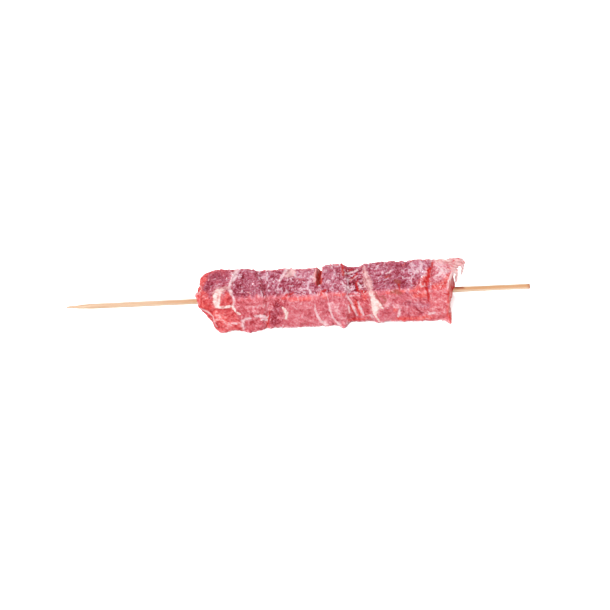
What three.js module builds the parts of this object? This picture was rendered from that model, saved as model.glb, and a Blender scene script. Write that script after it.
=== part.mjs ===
import * as THREE from "three";

// A raw beef kebab: nine uneven slices of beef, cut square and pressed together on a round bamboo skewer.
// The skewer lies along X, with its point at -X and its blunt end at +X. The front of the meat looks to -Y.
// The slices rest on Z = 0 with their undersides. Millimetres, Z up.

// The skewer.
const SKEWER_LENGTH = 250;
const SKEWER_DIAMETER = 3;
const POINT_LENGTH = 13;
const POINT_TIP_DIAMETER = 1;
const END_CHAMFER = 0.25;
const SKEWER_SIDES = 24;

// The bar of meat. The skewer runs along its middle, at this height above the surface it rests on.
const AXIS_HEIGHT = 12.2;
const HALF_SECTION = 12;
const GAP = 0.3; // between two slices, and between a slice and the skewer
const EDGE_ROUND = 0.9; // radius where a slice's cut face turns into its sides
const RESTING_SPARE = 0.6; // how far a resting slice would reach below the surface if that didn't press it flat
const PHASE_STEP = 1.7; // turns the unevenness from slice to slice

// The mesh of a slice.
const POINTS_AROUND = 40;
const ROUND_STEPS = 2;
const CAP_STEPS = 3;
const SIDE_STEP = 6;

const BEEF = new THREE.Color(0xc4606c);
const BAMBOO = new THREE.Color(0xe6be8c);

// The cut faces between slices, from the point's end. Each crosses the bar's four long edges at these X,
// and swells by bulge at its middle. Where the slices part, the cut gapes by that much more at its back top
// edge. The first and the last are the ends of the meat.
const CUTS = [
  { backTop: -46.5, frontTop: -55.5, frontBottom: -43.8, backBottom: -46, bulge: -3.5, gape: 0 },
  { backTop: -32.8, frontTop: -36, frontBottom: -30.5, backBottom: -31, bulge: -0.8, gape: 0 },
  { backTop: -23.4, frontTop: -19, frontBottom: -19.6, backBottom: -21, bulge: 0.6, gape: 0 },
  { backTop: -4.2, frontTop: -7, frontBottom: -9.4, backBottom: -6, bulge: 0.5, gape: 0.3 },
  { backTop: 12, frontTop: 9.8, frontBottom: 12.6, backBottom: 15, bulge: -0.6, gape: 3.4 },
  { backTop: 24.8, frontTop: 24.6, frontBottom: 25, backBottom: 26, bulge: 0.7, gape: 0.4 },
  { backTop: 34.6, frontTop: 35.6, frontBottom: 40, backBottom: 37, bulge: -0.5, gape: 0.4 },
  { backTop: 60.4, frontTop: 59.3, frontBottom: 59, backBottom: 61, bulge: 0.6, gape: 0 },
  { backTop: 72, frontTop: 69, frontBottom: 69.4, backBottom: 70, bulge: 0.4, gape: 1.2 },
  { backTop: 86.2, frontTop: 78.8, frontBottom: 81, backBottom: 83, bulge: 0.5, gape: 0 },
];

// How far each slice reaches from the skewer's axis to the front, back, top and bottom, how square its
// outline is (the exponent of a superellipse, where 2 is an ellipse), and by how many degrees it is turned
// on the skewer. Those that reach the surface below are pressed flat by it.
const ON_SURFACE = AXIS_HEIGHT + RESTING_SPARE;
const SLICES = [
  { front: 12.8, back: 9.6, top: 14, bottom: ON_SURFACE, squareness: 10, turn: -1.5 },
  { front: 13.2, back: 9.4, top: 13.4, bottom: ON_SURFACE, squareness: 12, turn: 1 },
  { front: 11.8, back: 10.6, top: 11.8, bottom: ON_SURFACE, squareness: 12, turn: -1 },
  { front: 12, back: 10.6, top: 11.3, bottom: ON_SURFACE, squareness: 14, turn: 1 },
  { front: 12.3, back: 12.3, top: 12.2, bottom: ON_SURFACE, squareness: 12, turn: -1 },
  { front: 11, back: 11.8, top: 10.2, bottom: 10.9, squareness: 9, turn: 2 },
  { front: 11.6, back: 13.2, top: 11.6, bottom: 10.9, squareness: 12, turn: -1 },
  { front: 12, back: 13.4, top: 12, bottom: 11.2, squareness: 12, turn: 1 },
  { front: 12, back: 13.4, top: 11.5, bottom: ON_SURFACE, squareness: 12, turn: -1 },
];

// X of the middle of a cut at a place (y, z) from the skewer's axis.
function cutX(cut, y, z) {
  const u = y / HALF_SECTION;
  const v = z / HALF_SECTION;
  const lerp = THREE.MathUtils.lerp;
  const top = lerp(cut.frontTop, cut.backTop, (u + 1) / 2);
  const bottom = lerp(cut.frontBottom, cut.backBottom, (u + 1) / 2);
  return lerp(bottom, top, (v + 1) / 2) + cut.bulge * (1 - (u * u + v * v) / 2);
}

// X of a slice's face at a cut: side is 1 for the slice beyond the cut, and -1 for the one before it.
function faceX(cut, side, y, z) {
  const towardsBackTop = Math.max(0, (y + z) / (2 * HALF_SECTION));
  return cutX(cut, y, z) + (side * (GAP + cut.gape * towardsBackTop ** 2)) / 2;
}

// A point of a slice's outline: a rounded square, a little uneven, and flat where it rests.
function outlinePoint(slice, angle, inset) {
  const c = Math.cos(angle);
  const s = Math.sin(angle);
  const n = slice.squareness;
  const square = (Math.abs(c) ** n + Math.abs(s) ** n) ** (-1 / n);
  const phase = slice.unevenPhase;
  const uneven = 1 + 0.016 * Math.sin(3 * angle + phase) + 0.01 * Math.sin(7 * angle + 2 * phase);
  const reachY = (c > 0 ? slice.back : slice.front) - inset;
  const reachZ = (s > 0 ? slice.top : slice.bottom) - inset;
  const turn = THREE.MathUtils.degToRad(slice.turn);
  const flat = new THREE.Vector2(reachY * c, reachZ * s).multiplyScalar(square * uneven);
  flat.rotateAround(new THREE.Vector2(), turn);
  return { y: flat.x, z: Math.max(flat.y, inset - AXIS_HEIGHT) };
}

// How far a slice's side draws in at a distance from its cut face.
function edgeInset(distance) {
  const d = Math.min(distance / EDGE_ROUND, 1);
  return EDGE_ROUND * (1 - Math.sqrt(1 - (1 - d) ** 2));
}

// Closes a loop of rings, each a list of points, into one skin: each ring is joined to the next, and the
// last to the first.
function skinOfRings(rings) {
  const around = rings[0].length;
  const positions = rings.flat().flatMap((p) => [p.x, p.y, p.z]);
  const index = [];
  for (let r = 0; r < rings.length; r++) {
    const here = r * around;
    const next = ((r + 1) % rings.length) * around;
    for (let k = 0; k < around; k++) {
      const l = (k + 1) % around;
      index.push(here + k, here + l, next + k, here + l, next + l, next + k);
    }
  }
  const skin = new THREE.BufferGeometry();
  skin.setAttribute("position", new THREE.Float32BufferAttribute(positions, 3));
  skin.setIndex(index);
  skin.computeVertexNormals();
  return skin;
}

// A slice is one loop of rings: along its outside to +X, in over that cut face, back through the skewer's
// hole, and out over the other cut face.
function sliceGeometry(slice, left, right) {
  const angles = Array.from({ length: POINTS_AROUND }, (_, k) => (2 * Math.PI * k) / POINTS_AROUND);
  const holeRadius = SKEWER_DIAMETER / 2 + GAP;
  const length = cutX(right, 0, 0) - cutX(left, 0, 0) - GAP;

  const distances = [];
  for (let i = 0; i < ROUND_STEPS; i++) {
    distances.push(EDGE_ROUND * (1 - Math.cos((i * Math.PI) / 2 / ROUND_STEPS)));
  }
  const sideSteps = Math.ceil((length - 2 * EDGE_ROUND) / SIDE_STEP);
  for (let i = 0; i <= sideSteps; i++) {
    distances.push(EDGE_ROUND + ((length - 2 * EDGE_ROUND) * i) / sideSteps);
  }
  for (let i = ROUND_STEPS - 1; i >= 0; i--) {
    distances.push(length - distances[i]);
  }
  const sideRings = distances.map((distance) =>
    angles.map((angle) => {
      const inset = edgeInset(Math.min(distance, length - distance));
      const p = outlinePoint(slice, angle, inset);
      const x = THREE.MathUtils.lerp(faceX(left, 1, p.y, p.z), faceX(right, -1, p.y, p.z), distance / length);
      return new THREE.Vector3(x, p.y, p.z + AXIS_HEIGHT);
    }),
  );

  const capRing = (cut, side, share) =>
    angles.map((angle) => {
      const rim = outlinePoint(slice, angle, EDGE_ROUND);
      const y = THREE.MathUtils.lerp(rim.y, holeRadius * Math.cos(angle), share);
      const z = THREE.MathUtils.lerp(rim.z, holeRadius * Math.sin(angle), share);
      return new THREE.Vector3(faceX(cut, side, y, z), y, z + AXIS_HEIGHT);
    });
  const shares = Array.from({ length: CAP_STEPS }, (_, i) => (i + 1) / CAP_STEPS);
  const rightCap = shares.map((share) => capRing(right, -1, share));
  const leftCap = shares.map((share) => capRing(left, 1, share)).reverse();
  return skinOfRings([...sideRings, ...rightCap, ...leftCap]);
}

// The skewer is turned, from its blunt end at the origin to its point on +Y.
function skewerGeometry() {
  const radius = SKEWER_DIAMETER / 2;
  const profile = [
    new THREE.Vector2(0, 0),
    new THREE.Vector2(radius - END_CHAMFER, 0),
    new THREE.Vector2(radius, END_CHAMFER),
    new THREE.Vector2(radius, SKEWER_LENGTH - POINT_LENGTH),
    new THREE.Vector2(POINT_TIP_DIAMETER / 2, SKEWER_LENGTH - END_CHAMFER),
    new THREE.Vector2(0, SKEWER_LENGTH),
  ];
  return new THREE.LatheGeometry(profile, SKEWER_SIDES);
}

function buildSkewer() {
  const material = new THREE.MeshStandardMaterial({ color: BAMBOO, roughness: 0.6, metalness: 0 });
  const skewer = new THREE.Mesh(skewerGeometry(), material);
  skewer.name = "skewer";
  skewer.rotation.z = Math.PI / 2;
  skewer.position.set(SKEWER_LENGTH / 2, 0, AXIS_HEIGHT);
  return skewer;
}

function buildSlice(slice, i) {
  const material = new THREE.MeshStandardMaterial({ color: BEEF, roughness: 0.35, metalness: 0 });
  const uneven = { ...slice, unevenPhase: PHASE_STEP * i };
  const mesh = new THREE.Mesh(sliceGeometry(uneven, CUTS[i], CUTS[i + 1]), material);
  mesh.name = `beef_slice_${i + 1}`;
  return mesh;
}

const kebab = new THREE.Group();
kebab.name = "beef_kebab_skewer";
kebab.add(buildSkewer(), ...SLICES.map(buildSlice));

export default kebab;
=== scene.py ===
import math

import bpy
import numpy as np
from mathutils import Euler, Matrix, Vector


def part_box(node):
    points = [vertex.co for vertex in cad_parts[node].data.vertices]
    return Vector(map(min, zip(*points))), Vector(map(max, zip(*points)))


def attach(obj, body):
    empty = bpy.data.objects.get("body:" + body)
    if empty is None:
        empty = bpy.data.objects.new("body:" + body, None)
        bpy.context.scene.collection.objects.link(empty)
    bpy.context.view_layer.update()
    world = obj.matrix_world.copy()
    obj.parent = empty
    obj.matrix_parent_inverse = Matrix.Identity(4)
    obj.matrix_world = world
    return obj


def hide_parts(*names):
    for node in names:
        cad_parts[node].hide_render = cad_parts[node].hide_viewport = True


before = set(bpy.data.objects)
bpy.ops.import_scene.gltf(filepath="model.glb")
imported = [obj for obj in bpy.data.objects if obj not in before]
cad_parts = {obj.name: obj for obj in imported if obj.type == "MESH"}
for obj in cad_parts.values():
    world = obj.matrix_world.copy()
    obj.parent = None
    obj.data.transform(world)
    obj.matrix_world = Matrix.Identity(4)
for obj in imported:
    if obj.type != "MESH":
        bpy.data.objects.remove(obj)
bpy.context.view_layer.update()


# ----------------------------------------
# The view: a long lens looks down on the front and the top of the kebab at once, from a little to the
# left, so that the blunt end lies further off and higher in the picture than the point.
MM = 0.001
PICTURE_SIDE = 610  # pixels
SENSOR = 36.0
LENS = 100.0
LOOK_DOWN = math.radians(44)
LOOK_RIGHT = math.radians(3.8)
CAMERA_DISTANCE = 912 * MM
NEAREST_SEEN = 50 * MM
KEBAB_IN_PICTURE = (299.5, 296.7)  # pixels from the top left corner, for the middle of the skewer

skewer_low, skewer_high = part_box("skewer")
skewer_middle = (skewer_low + skewer_high) / 2

turn = Euler((math.pi / 2 - LOOK_DOWN, 0, -LOOK_RIGHT))
right, up, backward = turn.to_matrix().transposed()
pixel = CAMERA_DISTANCE * SENSOR / LENS / PICTURE_SIDE
aside = (PICTURE_SIDE / 2 - KEBAB_IN_PICTURE[0]) * pixel
above = (PICTURE_SIDE / 2 - KEBAB_IN_PICTURE[1]) * pixel

camera_data = bpy.data.cameras.new("camera")
camera_data.lens = LENS
camera_data.sensor_width = SENSOR
camera_data.clip_start = NEAREST_SEEN
camera = bpy.data.objects.new("camera", camera_data)
camera.location = skewer_middle + right * aside - up * above + backward * CAMERA_DISTANCE
camera.rotation_euler = turn
bpy.context.collection.objects.link(camera)
bpy.context.scene.camera = camera


# ----------------------------------------
# The studio: a seamless white table in a white room. Soft light falls in through a window at the front
# left, and a small lamp behind the kebab glances off its wet top.
TABLE_SIDE = 6.0
TABLE_WHITE = 0.93
ROOM_LIGHT = 1.0
LAMP_PLACE = Vector((-0.2, 0.7, 0.9))
LAMP_WIDTH = 0.16
LAMP_DEPTH = 0.08
LAMP_WATTS = 7.0
WINDOW_LIGHT = 5.0
WINDOW_WIDTH = math.radians(35)  # as seen from the table
WINDOW_SHINES = Vector((0.35, 0.8, -1.0))

bpy.ops.mesh.primitive_plane_add(size=TABLE_SIDE)
table = bpy.context.object
table.name = "table"
table_paint = bpy.data.materials.new("white table")
table_paint.use_nodes = True
table_shader = table_paint.node_tree.nodes["Principled BSDF"]
table_shader.inputs["Base Color"].default_value = (TABLE_WHITE, TABLE_WHITE, TABLE_WHITE, 1)
table_shader.inputs["Roughness"].default_value = 0.9
table_shader.inputs["Specular IOR Level"].default_value = 0.1
table.data.materials.append(table_paint)

room = bpy.data.worlds.new("white room")
room.use_nodes = True
room.node_tree.nodes["Background"].inputs["Color"].default_value = (1, 1, 1, 1)
room.node_tree.nodes["Background"].inputs["Strength"].default_value = ROOM_LIGHT
bpy.context.scene.world = room


def hang_light(light_data, shines, place=(0, 0, 0)):
    """Puts a light in the room, turned so that it shines in a direction."""
    light = bpy.data.objects.new(light_data.name, light_data)
    light.location = place
    light.rotation_euler = shines.to_track_quat("-Z", "Y").to_euler()
    bpy.context.collection.objects.link(light)


lamp = bpy.data.lights.new("lamp behind", "AREA")
lamp.shape = "RECTANGLE"
lamp.size = LAMP_WIDTH
lamp.size_y = LAMP_DEPTH
lamp.energy = LAMP_WATTS
hang_light(lamp, skewer_middle - LAMP_PLACE, LAMP_PLACE)

window = bpy.data.lights.new("window light", "SUN")
window.energy = WINDOW_LIGHT
window.angle = WINDOW_WIDTH
hang_light(window, WINDOW_SHINES)
bpy.context.scene.view_settings.view_transform = "Standard"


# ----------------------------------------
# The skewer: one thin stick of bamboo, split and turned round on a machine, with its fibres running
# the whole length. One end is ground to a long point. It is pushed through the middle of each slice.
STICK_RADIUS = (skewer_high.z - skewer_low.z) / 2 / MM
STICK_START = skewer_low.x / MM
STICK_END = skewer_high.x / MM
AXIS_HEIGHT = skewer_middle.z / MM
POINT_LENGTH = 13
POINT_TIP = 0.42  # radius
POINT_BULGE = 0.8  # the power of the taper: below 1, the point is fuller than a cone
TIP_ROUND = 0.12
BUTT_ROUND = 0.15
STICK_STEP = 0.7
STICK_AROUND = 56
ALONG_STICK = (0.02, 1, 1)  # places are shrunk along the stick by this, so that lumps become fibres
FIBRES = ((1, 0.55, 3), (0.6, 0.3, 4))
FIBRE_DEPTH = 0.035
FACET_DEPTH = 0.16  # of the flats that the knife leaves on the point
UNROUND = 0.06
STAIN_AND_SHADOW_LENGTH = 3.8  # of the stick past the meat, on the side that the juice ran down; the stain there is also a painted shadow of the meat above it
STAIN_AND_SHADOW_SIDE = (0, 0.7, 0.7)
END_BROWN = 0.75
END_BROWN_LENGTH = 2.2
SKIN_AND_SHADE_SIDE = (0, -0.6, 0.8)  # the side that keeps a stripe of the cane's darker outer skin; the stripe is also painted shade down the middle of the stick's upper front, which leaves its flanks paler like a painted sheen
SKIN_AND_SHADE_LEAST = 0.45  # how much of the stripe, skin and painted shade, is left where the skin is worn thin, toward the point
SKIN_AND_SHADE_FADES = (-85, -55)  # between these x

scatter = np.random.default_rng(41)
SHUFFLED = scatter.permutation(256)
DIRECTIONS = scatter.normal(size=(256, 3))
DIRECTIONS /= np.linalg.norm(DIRECTIONS, axis=1, keepdims=True)
DRAW_APART = 19.37  # between the parts of the field that two draws show
FIELD_GAIN = 1.6  # brings its lumps up to about 1


def dealt(cell):
    """A repeatable draw from 0 to 255 for each cell of a grid of unit cubes."""
    first = SHUFFLED[cell[:, 0] & 255]
    second = SHUFFLED[(first + cell[:, 1]) & 255]
    return SHUFFLED[(second + cell[:, 2]) & 255]


def lumps(places, size, draw):
    """A smooth uneven field, about -1 to 1 with lumps of that size. Another draw gives another field."""
    spot = places / size + draw * DRAW_APART
    cell = np.floor(spot).astype(int)
    inside = spot - cell
    fade = inside**3 * (inside * (inside * 6 - 15) + 10)
    total = np.zeros(len(places))
    for corner in np.ndindex(2, 2, 2):
        corner = np.array(corner)
        slope = DIRECTIONS[dealt(cell + corner)]
        share = np.prod(np.where(corner == 1, fade, 1 - fade), axis=1)
        total += share * ((inside - corner) * slope).sum(axis=1)
    return total * FIELD_GAIN


def layered(places, layers):
    """Lumps of several sizes laid over each other. A layer is their height, their size and a draw."""
    return sum(height * lumps(places, size, draw) for height, size, draw in layers)


def step(low, high, value):
    """0 below low, 1 above high, and smooth between them."""
    share = np.clip((value - low) / (high - low), 0, 1)
    return share * share * (3 - 2 * share)


def skin(name, *stacks):
    """A mesh over stacks of rings of points, in millimetres, each closed on a point at both its ends."""
    places = []
    corners = []
    starts = []
    point_count = 0
    corner_count = 0
    for rings in stacks:
        count, around, _ = rings.shape
        here = np.arange(around)
        after = (here + 1) % around
        first = np.arange(count - 1)[:, None] * around
        second = first + around
        quads = np.stack([first + here, first + after, second + after, second + here], -1).reshape(-1, 4)
        pole = count * around
        last = pole - around
        fans = np.concatenate([
            np.stack([np.full(around, pole), after, here], 1),
            np.stack([np.full(around, pole + 1), last + here, last + after], 1),
        ])
        places += [rings.reshape(-1, 3), rings[0].mean(axis=0)[None], rings[-1].mean(axis=0)[None]]
        corners += [quads.ravel() + point_count, fans.ravel() + point_count]
        starts += [corner_count + np.arange(len(quads)) * 4]
        corner_count += quads.size
        starts += [corner_count + np.arange(len(fans)) * 3]
        corner_count += fans.size
        point_count += pole + 2
    places = np.concatenate(places)
    corners = np.concatenate(corners)
    starts = np.concatenate(starts)
    mesh = bpy.data.meshes.new(name)
    mesh.vertices.add(len(places))
    mesh.loops.add(len(corners))
    mesh.polygons.add(len(starts))
    mesh.vertices.foreach_set("co", (places * MM).ravel())
    mesh.loops.foreach_set("vertex_index", corners)
    mesh.polygons.foreach_set("loop_start", starts)
    mesh.update(calc_edges=True)
    mesh.shade_smooth()
    piece = bpy.data.objects.new(name, mesh)
    bpy.context.collection.objects.link(piece)
    return piece


def mesh_places(piece):
    """The places of a mesh's points, in millimetres, and the way that its surface faces at each."""
    points = piece.data.vertices
    places = np.empty(len(points) * 3, np.float32)
    points.foreach_get("co", places)
    facing = np.empty(len(points) * 3, np.float32)
    piece.data.vertex_normals.foreach_get("vector", facing)
    return places.reshape(-1, 3).astype(float) / MM, facing.reshape(-1, 3).astype(float)


def move_points(piece, places):
    """Puts a mesh's points at these places, in millimetres."""
    piece.data.vertices.foreach_set("co", (places * MM).ravel())
    piece.data.update()


def keep(piece, **fields):
    """Stores a number for each point of a mesh under a name, for its material to read."""
    for name, values in fields.items():
        layer = piece.data.attributes.new(name, "FLOAT", "POINT")
        layer.data.foreach_set("value", np.asarray(values, np.float32))


def stick_rings():
    """The stick's round outline, a ring every short step from the point to the blunt end."""
    stations = np.arange(STICK_START, STICK_END, STICK_STEP)
    stations = np.append(stations, STICK_END)
    angles = np.linspace(0, 2 * math.pi, STICK_AROUND, endpoint=False)
    from_point = (stations - STICK_START) / POINT_LENGTH
    radius = POINT_TIP + (STICK_RADIUS - POINT_TIP) * np.clip(from_point, 0, 1) ** POINT_BULGE
    radius[0] -= TIP_ROUND
    radius[-1] -= BUTT_ROUND
    ring = np.stack([np.zeros(STICK_AROUND), np.cos(angles), np.sin(angles)], 1)
    rings = ring[None] * radius[:, None, None]
    rings[:, :, 0] = stations[:, None]
    rings[:, :, 2] += AXIS_HEIGHT
    return rings


stick = skin("bamboo_skewer", stick_rings())
places, facing = mesh_places(stick)
fibres = layered(places * ALONG_STICK, FIBRES)
whittled = step(STICK_START + POINT_LENGTH + 2, STICK_START + POINT_LENGTH - 3, places[:, 0])
facets = lumps(places * (0.25, 1, 1), 1.3, 5) * whittled * FACET_DEPTH
unround = lumps(places * (0.03, 0.4, 0.4), 1, 6) * UNROUND
move_points(stick, places + facing * (fibres * FIBRE_DEPTH + facets + unround)[:, None])
# Past the meat, the stick's upper back side is darker: partly a juice stain, partly a painted shadow of
# the meat and the flap above it.
past_meat = places[:, 0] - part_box("beef_slice_9")[1].x / MM
stain_and_shadow = step(-3, -1, past_meat) * step(STAIN_AND_SHADOW_LENGTH, STAIN_AND_SHADOW_LENGTH - 1, past_meat + 0.5 * fibres)
stain_and_shadow *= step(-0.1, 0.35, facing @ STAIN_AND_SHADOW_SIDE)
brown_and_shadow = np.maximum(END_BROWN * step(END_BROWN_LENGTH, 0, STICK_END - places[:, 0]), stain_and_shadow)
# A darker stripe along the stick's upper front: the cane's outer skin, and painted shade that leaves the
# flanks paler as a painted sheen.
skin_and_shade = step(0.76, 1.0, facing @ SKIN_AND_SHADE_SIDE + 0.08 * fibres)
skin_and_shade *= SKIN_AND_SHADE_LEAST + (1 - SKIN_AND_SHADE_LEAST) * step(*SKIN_AND_SHADE_FADES, places[:, 0])
keep(stick, fibre=fibres, brown=brown_and_shadow, skin=skin_and_shade)

bamboo = bpy.data.materials.new("bamboo")
bamboo.use_nodes = True
tree = bamboo.node_tree
shader = tree.nodes["Principled BSDF"]


def node(tree, kind, **settings):
    """A new shader node. A setting's name is one of the node's own, or one of its inputs."""
    made = tree.nodes.new(kind)
    for name, value in settings.items():
        if hasattr(made, name):
            setattr(made, name, value)
        else:
            made.inputs[name.replace("_", " ")].default_value = value
    return made


def field(tree, name):
    """The number that is stored at each point under a name."""
    return node(tree, "ShaderNodeAttribute", attribute_name=name).outputs["Fac"]


def scaled(tree, value, by, plus=0.0, held=True):
    """A value times another, plus a third, held between 0 and 1 unless told otherwise."""
    made = node(tree, "ShaderNodeMath", operation="MULTIPLY_ADD", use_clamp=held)
    for place, part in enumerate((value, by, plus)):
        if isinstance(part, float):
            made.inputs[place].default_value = part
        else:
            tree.links.new(part, made.inputs[place])
    return made.outputs[0]


def blended(tree, share, below, above):
    """The colour below with the colour above laid over it by that share."""
    made = node(tree, "ShaderNodeMix", data_type="RGBA")
    tree.links.new(share, made.inputs[0])
    for place, shade in ((6, below), (7, above)):
        if isinstance(shade, tuple):
            made.inputs[place].default_value = (*shade, 1)
        else:
            tree.links.new(shade, made.inputs[place])
    return made.outputs[2]


def speckle(tree, *scale):
    """Fine unevenness, about 0 to 1, with that many lumps to a metre along x, y and z."""
    sized = node(tree, "ShaderNodeMapping", Scale=scale)
    tree.links.new(node(tree, "ShaderNodeTexCoord").outputs["Object"], sized.inputs["Vector"])
    noise = node(tree, "ShaderNodeTexNoise", Scale=1.0, Detail=3.0, Roughness=0.6)
    tree.links.new(sized.outputs[0], noise.inputs["Vector"])
    return noise.outputs["Fac"]


STUDIO_LIGHT = 2.45  # how much brighter than plain white a white sheet is in this studio


def from_srgb(red, green, blue):
    """A colour as seen in this studio, 0 to 255, as the share of the light that a surface sends back."""
    shares = []
    for value in (red, green, blue):
        value /= 255
        light = value / 12.92 if value <= 0.04045 else ((value + 0.055) / 1.055) ** 2.4
        shares.append(light / STUDIO_LIGHT)
    return tuple(shares)


BAMBOO_FIBRE = from_srgb(212, 166, 124)
BAMBOO = from_srgb(230, 196, 162)
BAMBOO_PALE = from_srgb(246, 220, 192)
BAMBOO_SKIN_AND_SHADE = from_srgb(208, 142, 78)
BAMBOO_STAIN_AND_SHADOW = from_srgb(176, 88, 34)

fine_fibre = speckle(tree, 60, 2600, 2600)
fibre_share = scaled(tree, field(tree, "fibre"), 0.35, 0.5)
colour = blended(tree, fibre_share, BAMBOO_FIBRE, BAMBOO)
fine_share = scaled(tree, fine_fibre, 2.4, -0.85)
colour = blended(tree, fine_share, colour, BAMBOO_PALE)
colour = blended(tree, scaled(tree, field(tree, "skin"), 0.9), colour, BAMBOO_SKIN_AND_SHADE)
# The stain past the meat, which is also a painted shadow.
colour = blended(tree, field(tree, "brown"), colour, BAMBOO_STAIN_AND_SHADOW)
tree.links.new(colour, shader.inputs["Base Color"])
shader.inputs["Roughness"].default_value = 0.5
shader.inputs["Subsurface Weight"].default_value = 0.12
shader.inputs["Subsurface Radius"].default_value = (1.0, 0.6, 0.35)
shader.inputs["Subsurface Scale"].default_value = 0.6 * MM
bump = node(tree, "ShaderNodeBump", Strength=0.5, Distance=0.05 * MM)
tree.links.new(fine_fibre, bump.inputs["Height"])
tree.links.new(bump.outputs[0], shader.inputs["Normal"])
stick.data.materials.append(bamboo)
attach(stick, "root")
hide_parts("skewer")


# ----------------------------------------
# The beef: nine slices cut across the muscle, threaded on the skewer one against the next, pressed
# together and trimmed square with a long knife. The muscle's bundles stand upright in most slices, so
# that the top and underside show them cut through, and the front and back show them lengthwise.
SPACING = 0.24  # between the points of a slice's outside
SEAM_RINGS = 24  # on a cut face that is pressed against the next slice
END_RINGS = 44  # on the two cut faces at the ends of the meat
SEAM_ROUND = (0.1, 0.5)  # least and most radius of the edges along a seam
FIRST_END_ROUND = (1.2, 2.0)
LAST_END_ROUND = (0.3, 0.6)
FACE_MIDDLE = 0.02  # how near to the skewer's axis a cut face's smallest ring lies, of its whole reach
PRESS = 0.3  # how far a slice is pressed past the middle of the cut, into the next
STRAY = ((0.9, 6.0, 14), (0.5, 2.4, 15))  # how a cut strays from its fitted face, in layers of lumps
STEP_EASE = 1.8  # over how far a slice eases to the size of the next
CUT_FACE_RADIUS = 9.0  # within which the frame's points lie on its cut faces
HALF_SECTION = 12.0
LAST_TRIM = 0.6  # how much shorter the last slice is cut
SLICE_COUNT = 9

# Where two slices have come apart along the back of their top: how wide, from how far behind the skewer
# (negative is in front of it), and down to what height above it, there and at the back.
PARTED = {4: (2.6, -4.5, 7.6, 8.0)}
PARTED_SLOPE = {-1: 4.8, 1: 1.6}  # over what height the slice before it and the one beyond it give way
PARTED_HUE_SLOPE = 3.4  # over what height the fresh red of the parted meat fades
PARTED_EASE = 0.8  # how far below that height they begin to part

# The last slice bulges round the skewer: how far, how wide, and where (y, z from the skewer's axis).
BULGE = 2.0
BULGE_AROUND = 3.2
BULGE_MIDDLE = (1.2, 1.4)

# How each slice looks: how square it is, how it is turned on the skewer, which way the fibres of its
# front lean (x per unit of height) and how long they are drawn, which way the tissue on its top is drawn,
# how much lighter and redder it is than the rest, how marbled its top and its front are, how far its top
# turns darker and mauve, partly with age and partly as painted shade and sheen on the top, and how wet it
# is.
SLICE_TRAITS = ("square", "turn", "lean", "long", "drawn", "light", "red", "top", "front", "aged_and_shaded", "wet")
SLICES = [dict(zip(SLICE_TRAITS, traits)) for traits in (
    (9, -1.5, 0.1, 0.3, 35, -0.03, 0.55, 0.65, 1.2, 0.95, 1),
    (11, 1, -0.1, 0.3, 75, -0.01, 0.1, 1.08, 1.2, 1, 1),
    (12, -1, 0.05, 0.4, 70, 0.01, 0, 1.02, 1.25, 1, 1),
    (13, 1, 0, 0.3, 55, 0.09, 0.05, 1.15, 0.85, 0.95, 1),
    (12, -1, -0.2, 0.5, 85, 0.07, 0, 0.95, 1, 0.95, 1),
    (10, 2, -0.4, 0.7, 30, -0.05, 0.2, 1.85, 1.3, 1, 0.5),
    (12, -1, -0.5, 0.45, 45, 0.015, 0, 0.95, 0.95, 1, 1),
    (12, 1, -1, 0.6, 95, 0.085, 0.05, 0.95, 1.2, 0.95, 1),
    (11, -1, -0.2, 0.4, 60, 0.11, 0.25, 0.85, 0.9, 0.3, 1),
)]

# Marks on the two sides that show, where the top and the front meet at the ridge. Each is a line of
# (x, up from the ridge, half width): up is over the top to the back, and down the front is negative.
FAT_LINES = [
    [(-41.4, 6.2, 0.9), (-43.1, 4.6, 1.7), (-44.4, 0.9, 2), (-44.7, -3.2, 2), (-44, -6.2, 1.2)],
    [(-44.5, -6.9, 1.1), (-39.8, -7.1, 0.9), (-36.6, -7, 0.8), (-34.5, -10, 0.8),
     (-32.5, -11.6, 0.6)],
    [(-9.5, -7.9, 0.6), (-7.7, -11.3, 1.1), (-8.1, -15.8, 0.6)],
    [(37.4, -0.4, 1), (38.5, -5, 1.6), (39.9, -9.3, 2.4), (39.9, -12.3, 2), (39.6, -15.6, 0.9)],
    [(40.2, -7.3, 1.3), (42, -10, 1.2), (43.9, -11.9, 0.7)],
    [(39.4, -15, 0.8), (40.9, -18.2, 0.6), (42.3, -20.9, 0.6)],
    [(81.6, 9.5, 0.7), (80.6, 6, 1.3), (79.6, 2.2, 1)],
    [(74.6, 24.2, 0.5), (78.5, 23.6, 0.8), (82, 22.4, 0.6)],
]
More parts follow.
